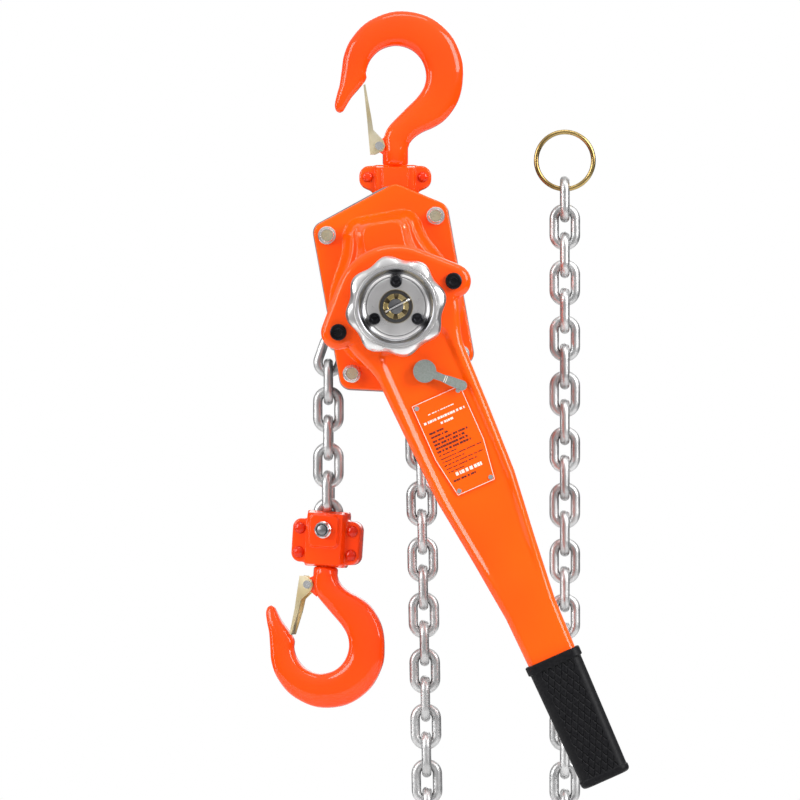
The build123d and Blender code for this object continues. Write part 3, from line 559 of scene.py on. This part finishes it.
# ---- body covers
PLATE_CORNERS = [(-42.5, 63.9), (14.5, 82.4), (42.5, 64.4), (42.5, -42.6), (-11.0, -53.3),
                 (-42.5, -46.0)]


def body_d(x, z):
    """Outline of the body's plates and covers."""
    return polygon_d(x, z, PLATE_CORNERS, PLATE_CORNER_R)


def bulge_d(x, z):
    """Outline of the brake cover's bulge."""
    return join_d(circle_d(x, z, 0, 0, 50.5), box_d(x, z, 0, 33, 29.5, 38.5, 14), 20)


def crown_d(x, z):
    """Outline of the raised step on the bulge."""
    return join_d(circle_d(x, z, 0, 0, 41.5), box_d(x, z, 0, 34, 20.5, 35.0, 13), 16)


def cover_height(x, z):
    """Front of the brake cover: a flat, a bulge and a crown on the bulge."""
    bulge = 18.2 * ease(-bulge_d(x, z) / 7.5) ** 0.8
    y = COVER_Y - bulge - 10.6 * ease(-crown_d(x, z) / 6.5) ** 0.8
    return y + edge_round(body_d(x, z), 1.4)


def case_height(x, z):
    """Back of the gear case: one hump over the gears with a shallow round dent."""
    hump = join_d(circle_d(x, z, 0, 31.5, 27), circle_d(x, z, 0, -31.5, 26.6), 10)
    hump = join_d(hump, circle_d(x, z, 0, 0, 45.5), 10)
    y = CASE_Y + 34.4 * ease(-hump / 5) ** 0.8 - edge_round(body_d(x, z), 1.4)
    return y - 2.5 * ease((-circle_d(x, z, 0, 0, 18)) / 3)


def make_covers():
    relief("brake_cover_pressing", (0, 5), body_d, cover_height, -21.0, on_body, "hoist_frame",
           spokes=360, rings=120, replaced=("brake_cover",), slot="orange_enamel", material=ORANGE)
    relief("gear_case_pressing", (0, 5), body_d, case_height, 21.0, on_body, "hoist_frame",
           spokes=300, rings=110, replaced=("gear_case",), slot="orange_enamel", material=ORANGE)


# ---- lever
ARM = [(-32.5, -10), (32.5, -10), (32.5, -50), (31.1, -97), (28.9, -147), (22.8, -198), (17.8, -246),
       (16.8, -GRIP_START), (16.8, -GRIP_START - 20), (-16.8, -GRIP_START - 20), (-16.8, -GRIP_START),
       (-17.8, -246), (-22.8, -198), (-28.9, -147), (-31.1, -97), (-32.5, -50)]
CHEEK = [(0, 0), (33.0, 32.5), (56.1, 9.06), (LEVER_BOLT_X, 0)]


def lever_d(x, z):
    """Lever outline: a round head with two eared cheeks, and the arm."""
    d = np.minimum(circle_d(x, z, 0, 0, LEVER_HEAD_R), polygon_d(np.abs(x), z, CHEEK, 0))
    for side in (-1, 1):
        d = np.minimum(d, circle_d(x, z, side * LEVER_BOLT_X, 0, LEVER_EAR_R))
    # the arm blends widely into the head only where every height asked for is below 4 mm
    blend = 14 * float(np.max(z) < 4) + 0.5
    return join_d(d, polygon_d(x, z, ARM, 2), blend)


def panel_d(x, z):
    """Outline of the long recess in the lever's front."""
    corners = [(-21, -33), (21, -33), (21, -120), (20, -150), (11, -228), (-11, -228), (-20, -150),
               (-21, -120)]
    return polygon_d(x, z, corners, 2)


def lever_front_y(x, z):
    y = LEVER_FRONT_Y + LEVER_FALL * ease((-z - 150) / 90)
    y = y + RECESS_DEPTH * ease(1 - panel_d(x, z) / 5.5) * ease((z + 236) / 45)
    return y + edge_round(lever_d(x, z), 5.5)


def lever_rear_y(x, z):
    fall = LEVER_FALL * ease((-z - 150) / 90)
    return LEVER_REAR_Y - fall - edge_round(lever_d(x, z), 5.0)


def lever_rows():
    """Heights down the lever, closer together where the outline turns."""
    head = [46.2 * math.cos(math.radians(a)) for a in np.linspace(2.5, 118, 110)]
    arm = np.linspace(head[-1] - 0.8, -GRIP_START - 3, 230)
    return list(head) + list(arm)


def lever_shell(name, height, seam_y, node):
    """Pressed half of the lever, open at the seam."""
    columns = 91
    spread = np.sin(np.linspace(-math.pi / 2, math.pi / 2, columns))
    verts = []
    rows = lever_rows()
    for z in rows:
        low = 0.0
        high = 75.0
        for _ in range(30):
            middle = (low + high) / 2
            if lever_d(np.array(middle), np.array(z)) < 0:
                low = middle
            else:
                high = middle
        x = spread * low
        y = height(x, np.full(columns, z))
        verts += [on_lever(*p) for p in zip(x, y, np.full(columns, z))]
        verts += [on_lever(low, seam_y, z), on_lever(-low, seam_y, z)]
    faces = grid_faces(len(rows), columns + 2, wrap_columns=True)
    total = columns + 2
    faces.append(tuple(range(total)))
    faces.append(tuple(range((len(rows) - 1) * total, len(rows) * total)))
    finish_mesh(name, verts, faces, "lever", (node,), "orange_enamel", ORANGE, 38)


def grip_section(half, thick, corner):
    """Rounded rectangle as evenly spaced points."""
    dense = []
    for cx, cy, start in ((1, 1, 0), (-1, 1, 90), (-1, -1, 180), (1, -1, 270)):
        for k in range(25):
            a = math.radians(start + 90 * k / 24)
            dense.append((cx * (half - corner) + corner * math.cos(a),
                          cy * (thick - corner) + corner * math.sin(a)))
    dense = np.array(dense + dense[:1])
    run = np.concatenate([[0], np.cumsum(np.hypot(*np.diff(dense, axis=0).T))])
    at = np.linspace(0, run[-1], GRIP_POINTS, endpoint=False)
    return np.interp(at, run, dense[:, 0]), np.interp(at, run, dense[:, 1])


def grip_piece():
    """Rubber grip: collar, knurled body, flanged end."""
    stations = np.linspace(GRIP_START, GRIP_END, 330)
    verts = []
    for z in stations:
        collar = float(ease((GRIP_START + 7.4 - z) / 1.0))
        flange = float(ease((z - GRIP_END + 6.4) / 1.2))
        half = 20.4 - 1.8 * (z - GRIP_START) / (GRIP_END - GRIP_START) + collar * 1.4 + flange * 0.7
        thick = 12.0 + collar * 0.9 + flange * 0.5
        end = max(float(edge_round(np.array(GRIP_START - z), 1.2)),
                  float(edge_round(np.array(z - GRIP_END), 3.4)))
        x, y = grip_section(half - end, thick - end, 7.6)
        field = (1 - collar) * (1 - flange) * ease((0.66 * half - np.abs(x)) / 0.6)
        field = field * (np.abs(y) > 0.9 * thick)
        p = (x + 0.5 * z) / KNURL_PITCH
        q = (x - 0.5 * z) / KNURL_PITCH
        groove = np.minimum(np.abs(p - np.round(p)), np.abs(q - np.round(q)))
        y = y - np.sign(y) * KNURL_DEPTH * field * (1 - ease(groove / 0.14))
        verts += [on_lever(px, GRIP_Y + py, -z) for px, py in zip(x, y)]
    faces = grid_faces(len(stations), GRIP_POINTS, wrap_columns=True)
    faces.append(tuple(range(GRIP_POINTS)))
    faces.append(tuple(range((len(stations) - 1) * GRIP_POINTS, len(stations) * GRIP_POINTS)))
    finish_mesh("rubber_grip", verts, faces, "lever", ("lever_grip",), "grip_rubber", RUBBER, 50)


def make_lever():
    lever_shell("lever_front_pressing", lever_front_y, -69.6, "lever_front_shell")
    lever_shell("lever_rear_pressing", lever_rear_y, -69.4, "lever_rear_shell")
    grip_piece()


# ---- hand wheel
WHEEL_PROFILE = [
    (12.2, -88.0), (12.2, -98.5), (12.7, -99.0), (20.6, -99.0), (21.6, -99.3), (22.4, -98.9),
    (24.2, -99.3), (25.6, -100.4), (26.9, -104.2), (27.6, -105.5), (28.4, -105.95), (29.9, -105.95),
    (30.2, -105.4), (31.0, -105.4), (31.3, -105.9), (32.4, -105.7), (34.6, -104.2), (36.0, -101.6),
    (36.35, -99.0), (36.1, -96.0), (35.2, -94.4), (33.4, -94.0), (24.4, -94.0), (24.0, -93.6),
    (24.0, -86.4), (23.6, -86.0), (7.1, -86.0), (7.1, -88.0),
]


def make_handwheel():
    """Turned wheel with a scalloped rim; the shaft's well and the cup's wall take a dark metal as painted
    shade.
    """
    spokes = 256
    verts = []
    for r, y in WHEEL_PROFILE:
        wave_share = float(ease(np.array((r - 31.5) / 3.6)))
        for k in range(spokes):
            a = 2 * math.pi * k / spokes
            wave = WHEEL_WAVE * math.cos(WHEEL_LOBES * (a - WHEEL_PHASE))
            radius = r + wave_share * wave
            verts.append(on_axis(radius * math.cos(a), y, radius * math.sin(a)))
    faces = grid_faces(len(WHEEL_PROFILE), spokes, wrap_columns=True, wrap_rows=True)
    # the well's rows and the cup's sloping wall are painted darker as shade
    painted_shade_rows = (0, 6, 7, 8, 9, len(WHEEL_PROFILE) - 1)
    tones = [1 if i // spokes in painted_shade_rows else 0 for i in range(len(faces))]
    finish_mesh("handwheel_turning", verts, faces, "handwheel", ("handwheel",), "bright_steel",
                WHEEL_STEEL, 28, tones, CUP_AND_WELL_PAINTED_SHADE)


# ---- yokes
def top_yoke_d(x, z):
    x = x - HOOK_X
    ears = box_d(x, z, 0, -76.3, 27, 8.9, 7.8)
    stem = box_d(x, z, 0, -80, 15.4, 12.5, 2)
    tail = box_d(x, z, 0, -96, 12.8, 12.0, 11.5)
    taper = polygon_d(x, z, [(-20, -79), (20, -79), (12, -89), (-12, -89)], 3)
    return join_d(join_d(ears, stem, 3), join_d(tail, taper, 3), 3)


def top_yoke_y(x, z):
    centre = box_d(x - HOOK_X, z, 0, -88, 15.4, 20.6, 1.5)
    front = box_d(x - HOOK_X, z, 0, -84, 10.2, 16.6, 1.0)
    y = -7.9 - 5.0 * ease(-centre / 1.6) - 2.3 * ease(-front / 1.4)
    return y + edge_round(top_yoke_d(x, z), 1.8)


def bottom_yoke_d(x, z):
    z = z - CHAIN_PIN_Z
    ears = box_d(x, z, 0, -9, 26.2, 16.4, 7)
    waist = polygon_d(x, z, [(-14, 12.6), (14, 12.6), (14, -26.6), (-14, -26.6)], 1.3)
    return join_d(ears, waist, 2)


def bottom_yoke_y(x, z):
    up = z - CHAIN_PIN_Z
    block = box_d(x, up, 0, -7, 15.4, 20.8, 3)
    front = box_d(x, up, 0, -1, 12, 13, 5)
    y = -6.9 - 6.0 * ease(-block / 2) - 2.3 * ease(-front / 1.8)
    return y + edge_round(bottom_yoke_d(x, z), 1.8)


def make_yokes():
    for side, half in ((1, "front"), (-1, "rear")):
        def top_place(x, y, z, side=side):
            return upright(x, side * y, z)

        def bottom_yoke_place(x, y, z, side=side):
            return at_strand(x, side * y, z)

        relief("top_yoke_" + half + "_forging", (HOOK_X, -82), top_yoke_d, top_yoke_y, -0.05,
               top_place, "top_yoke", spokes=260, rings=90, reach=45,
               replaced=("top_yoke_" + half,), slot="orange_enamel", material=HOOK_ORANGE)
        relief("bottom_yoke_" + half + "_forging", (0, -347), bottom_yoke_d, bottom_yoke_y, -0.05,
               bottom_yoke_place, "bottom_yoke", spokes=260, rings=90, reach=45,
               replaced=("bottom_yoke_" + half,), slot="orange_enamel", material=HOOK_ORANGE)


# ---- fasteners
def make_stay_nuts():
    for side, half in ((-1, "front"), (1, "rear")):
        parts = ([], [], [])
        for u, w in STAY_POINTS:
            lathe(parts, (u, w), [
                (4.03, side * 23.6, 0, 0), (6.5, side * 23.6, 0, 0), (6.88, side * 24.0, 0, 0),
                (6.85, side * 24.9, 0, 0), (6.5, side * 25.4, 0, 0), (6.1, side * 25.5, 0, 0),
                (5.6, side * 25.6, 0, 0.5), (5.6, side * 28.3, 0, 1), (5.55, side * 28.6, 0, 0.8),
                (5.1, side * 29.2, 0, 0.2), (4.8, side * 29.45, 0, 0), (4.35, side * 29.45, 0, 0),
                (4.03, side * 29.0, 0, 0), (4.03, side * 23.6, 0, 0),
            ], on_body, 60, 6)
        finish_mesh(half + "_flange_nuts", *parts[:2], "hoist_frame", (half + "_stay_nuts",),
                    "yellow_zinc", BRIGHT, 30, parts[2])


def make_castle_nut():
    """Nut with six slots; the pin lies in two of them; the slot floors are painted dark as shade."""
    spokes = 180
    # radius, y on the lands, y in the slots
    rows = [(9.55, -97.1, -97.1), (9.6, -98.5, -98.5), (9.3, -98.8, -98.8), (9.3, -104.8, -101.8),
            (8.9, -105.2, -101.9), (6.2, -105.2, -101.9), (5.7, -104.9, -101.8), (5.56, -97.1, -97.1)]

    slot_shade_rows = (3, 4, 5)
    slot_half = 1.5
    slot_radius = 8

    def slotted(degrees):
        off = (degrees - PIN_TURN + 30) % 60 - 30
        return abs(math.radians(off)) * slot_radius < slot_half

    verts = []
    tones = []
    for radius, land, slot in rows:
        for k in range(spokes):
            a = 2 * math.pi * k / spokes
            depth = slot if slotted(math.degrees(a)) else land
            verts.append(on_axis(radius * math.cos(a), depth, radius * math.sin(a)))
    faces = grid_faces(len(rows), spokes, wrap_columns=True, wrap_rows=True)
    # slot floors take the dark metal: painted shade
    for i in range(len(faces)):
        row, column = divmod(i, spokes)
        tones.append(1 if slotted(360 / spokes * column) and row in slot_shade_rows else 0)
    finish_mesh("castle_nut_slotted", verts, faces, "drive_shaft", ("castle_nut",), "yellow_zinc",
                BRASS, 30, tones, SLOT_PAINTED_SHADE)


def socket_heads(name, node, body, centres, radius, front, back, socket, place):
    """Cap screws with a hexagon socket."""
    parts = ([], [], [])
    for centre in centres:
        lathe(parts, centre, [
            (radius * 0.55, back, 0, 0), (radius - 0.2, back, 0, 0), (radius, back - 0.3, 0, 0),
            (radius, front + 0.9, 0, 0), (radius - 0.25, front + 0.35, 0, 0), (radius - 0.9, front, 0, 0),
            (socket + 0.5, front, 0, 0), (socket, front + 0.3, 0, 1), (socket, front + 2.2, 0, 1),
            (0.2, front + 2.6, 0, 0),
        ], place, 60, 6)
    finish_mesh(name, *parts[:2], body, (node,), "black_steel", BLACK_STEEL, 30, parts[2])


def make_cap_screws():
    turns = [math.radians(a) for a in (90, 210, 330)]
    wheel = [(WHEEL_SCREW_R * math.cos(a), WHEEL_SCREW_R * math.sin(a)) for a in turns]
    lever = [(-LEVER_BOLT_X, 0), (LEVER_BOLT_X, 0)]
    socket_heads("handwheel_cap_screws", "handwheel_screws", "handwheel", wheel, 4.4, -103, -99.05, 2.1,
                 on_axis)
    socket_heads("lever_cap_screws", "lever_bolts", "lever", lever, 6.2, -86, -82.05, 2.9, on_lever)


def make_chain_pin():
    """Pin through the bottom yoke with a nut at each end."""
    parts = ([], [], [])
    for side in (-1, 1):
        lathe(parts, (0, CHAIN_PIN_Z), [
            (3.9, side * 15.4, 0, 0), (6.1, side * 15.4, 0, 0), (6.3, side * 15.8, 0, 0),
            (6.3, side * 16.9, 0, 0), (6.0, side * 17.4, 0, 0.6), (6.1, side * 19.4, 0, 0.6),
            (5.7, side * 20.5, 1, 0.2), (5.1, side * 20.9, 1, 0), (4.6, side * 20.5, 1, 0),
            (4.4, side * 19.0, 1, 0), (3.9, side * 19.0, 1, 0), (3.6, side * 20.1, 1, 0),
            (2.2, side * 20.6, 1, 0), (0.3, side * 20.7, 1, 0),
        ], at_strand, 60, 6)
    lathe(parts, (0, CHAIN_PIN_Z), [(3.9, -15.4, 0, 0), (3.9, 15.4, 0, 0)], at_strand, 60, 0)
    finish_mesh("chain_pin_nuts", *parts[:2], "bottom_yoke", ("chain_pin",), "chain_steel", WHEEL_STEEL,
                30, parts[2], HARD)


# ---- name plate print
# down the lever, left end, right end, height, 0 light or 1 dark
LABEL_ROWS = [
    (83.4, -11, 10, 0.7, 0), (88.6, -16.5, 16.5, 1.7, 0), (92.7, -4.8, 5.4, 1.6, 0),
    (97.0, -16, -4.7, 1.5, 1), (100.1, -16, -2, 1.4, 1), (103.4, -16, 12, 1.5, 1),
    (106.2, -16, 8.5, 1.6, 1), (109.0, -16, 11.2, 1.6, 1), (111.9, -16, 11, 1.6, 1),
    (114.8, -15.8, -2, 0.7, 1), (117.7, -15.8, 17, 0.7, 1), (120.4, -15.6, 2, 0.7, 1),
    (123.2, -15.2, 15.6, 0.7, 1), (126.1, -14.8, 11, 0.7, 1), (128.9, -14.4, -2, 0.7, 1),
    (132.0, -10, 11, 2.6, 0), (136.2, -13.6, 4.4, 1.4, 1),
]


def make_print():
    """Border line and rows of blank dashes in place of any wording."""
    marks = [([], []), ([], [])]
    rng = np.random.default_rng(7)
    verts, faces = marks[0]
    corners = [(-19.4, -73.0), (19.4, -73.0), (19.4, -116.2), (14.8, -146.8), (-14.8, -146.8),
               (-19.4, -116.2)]
    for (ax, az), (bx, bz) in zip(corners, corners[1:] + corners[:1]):
        length = math.hypot(bx - ax, bz - az)
        nx = (bz - az) / length * BORDER_HALF
        nz = -(bx - ax) / length * BORDER_HALF
        line = [(ax - nx, az - nz), (bx - nx, bz - nz), (bx + nx, bz + nz), (ax + nx, az + nz)]
        add_slab(verts, faces, line, LABEL_Y, LABEL_Y + LABEL_THICKNESS, on_lever)
    for u, left, right, tall, tone in LABEL_ROWS:
        x = left
        while x < right - 0.6:
            end = min(x + float(rng.uniform(0.8, 2.6)), right)
            low = -u - tall / 2
            high = -u + tall / 2
            dash = [(x, low), (end, low), (end, high), (x, high)]
            add_slab(*marks[tone], dash, LABEL_Y, LABEL_Y + LABEL_THICKNESS, on_lever)
            x = end + (0.4 if rng.random() < 0.6 else 1.1)
    finish_mesh("label_light_marks", *marks[0], "lever", (), "label_face", INK_LIGHT)
    finish_mesh("label_dark_marks", *marks[1], "lever", (), "label_face", INK_DARK)


def make_selector_mark():
    """Two fine lines across the selector's blade."""
    verts = []
    faces = []
    c = math.sqrt(0.5)
    for t in (15.9, 17.3):
        along = ((t - 0.2, -2.5), (t + 0.2, -2.5), (t + 0.2, 2.5), (t - 0.2, 2.5))
        line = [(a * c + b * c, -SELECTOR_U - a * c + b * c) for a, b in along]
        add_slab(verts, faces, line, -87.08, -86.9, on_lever)
    finish_mesh("selector_lines", verts, faces, "selector", (), "label_face", INK_LIGHT)


# ---- stage
def make_floor():
    bpy.ops.mesh.primitive_circle_add(vertices=64, radius=1.7, fill_type="NGON", location=(0, 0, -0.90))
    floor = bpy.context.object
    floor.name = "floor"
    material, tree, shader = new_material("floor_white", (0.74, 0.74, 0.74), 0.0, 0.8)
    vary_color(tree, shader, noise(tree, 2, 2), (0.72, 0.72, 0.72), (0.76, 0.76, 0.76))
    floor.data.materials.append(material)


def area_light(name, place, size, power):
    """Soft light that looks at the middle of the hoist."""
    light = bpy.data.lights.new(name, "AREA")
    light.shape = "RECTANGLE"
    light.size = size[0]
    light.size_y = size[1]
    light.energy = power
    lamp = bpy.data.objects.new(name, light)
    bpy.context.scene.collection.objects.link(lamp)
    lamp.location = place
    lamp.rotation_euler = (MIDDLE - Vector(place)).to_track_quat("-Z", "Y").to_euler()


def make_world():
    """Room light, dark below and white above with a soft glow in front; the camera sees plain white."""
    world = bpy.data.worlds.new("studio")
    bpy.context.scene.world = world
    world.use_nodes = True
    tree = world.node_tree
    room = tree.nodes["Background"]
    coords = tree.nodes.new("ShaderNodeTexCoord")
    split = tree.nodes.new("ShaderNodeSeparateXYZ")
    ramp = tree.nodes.new("ShaderNodeValToRGB")
    ramp.color_ramp.elements[0].position = 0.15
    ramp.color_ramp.elements[0].color = (0.05, 0.05, 0.055, 1)
    ramp.color_ramp.elements[1].position = 0.95
    ramp.color_ramp.elements[1].color = (1, 1, 1, 1)
    middle = ramp.color_ramp.elements.new(0.5)
    middle.color = (0.13, 0.13, 0.135, 1)
    lift = tree.nodes.new("ShaderNodeMapRange")
    lift.inputs["From Min"].default_value = -1
    tree.links.new(coords.outputs["Generated"], split.inputs["Vector"])
    tree.links.new(split.outputs["Z"], lift.inputs["Value"])
    tree.links.new(lift.outputs["Result"], ramp.inputs["Fac"])
    front = tree.nodes.new("ShaderNodeMapRange")
    front.interpolation_type = "SMOOTHSTEP"
    front.inputs["From Min"].default_value = -0.55
    front.inputs["From Max"].default_value = -1.0
    front.inputs["To Max"].default_value = 0.40
    tree.links.new(split.outputs["Y"], front.inputs["Value"])
    glow = tree.nodes.new("ShaderNodeMix")
    glow.data_type = "RGBA"
    glow.inputs["B"].default_value = (0.80, 0.80, 0.80, 1)
    tree.links.new(front.outputs["Result"], glow.inputs["Factor"])
    tree.links.new(ramp.outputs["Color"], glow.inputs["A"])
    tree.links.new(glow.outputs["Result"], room.inputs["Color"])
    white = tree.nodes.new("ShaderNodeBackground")
    paths = tree.nodes.new("ShaderNodeLightPath")
    mix = tree.nodes.new("ShaderNodeMixShader")
    tree.links.new(paths.outputs["Is Camera Ray"], mix.inputs["Fac"])
    tree.links.new(room.outputs["Background"], mix.inputs[1])
    tree.links.new(white.outputs["Background"], mix.inputs[2])
    tree.links.new(mix.outputs["Shader"], tree.nodes["World Output"].inputs["Surface"])
    white.inputs["Color"].default_value = (1, 1, 1, 1)


def make_lights():
    area_light("key", (2.0, -1.5, 0.8), (1.3, 1.7), 72)
    area_light("fill", (-2.0, -1.4, 0.5), (0.8, 1.5), 34)
    area_light("top", (0.1, -0.9, 1.9), (1.6, 0.5), 16)
    area_light("strip_left", (-1.8, -0.2, -0.3), (0.2, 1.8), 8)
    area_light("back", (0.4, 1.9, 0.6), (1.4, 1.2), 10)
    bpy.context.scene.view_settings.view_transform = "Standard"


def make_camera():
    camera = bpy.data.objects.new("camera", bpy.data.cameras.new("camera"))
    bpy.context.scene.collection.objects.link(camera)
    camera.location = CAMERA_PLACE
    camera.rotation_euler = (math.radians(90), 0, 0)
    camera.data.sensor_width = 36
    camera.data.lens = 36 * -CAMERA_PLACE[1] / VIEW_WIDTH
    camera.data.clip_end = 40
    bpy.context.scene.camera = camera


make_camera()
make_world()
make_lights()
make_floor()
dress_cad()
make_hooks()
make_covers()
make_lever()
make_handwheel()
make_yokes()
make_stay_nuts()
make_castle_nut()
make_cap_screws()
make_chain_pin()
make_print()
make_selector_mark()
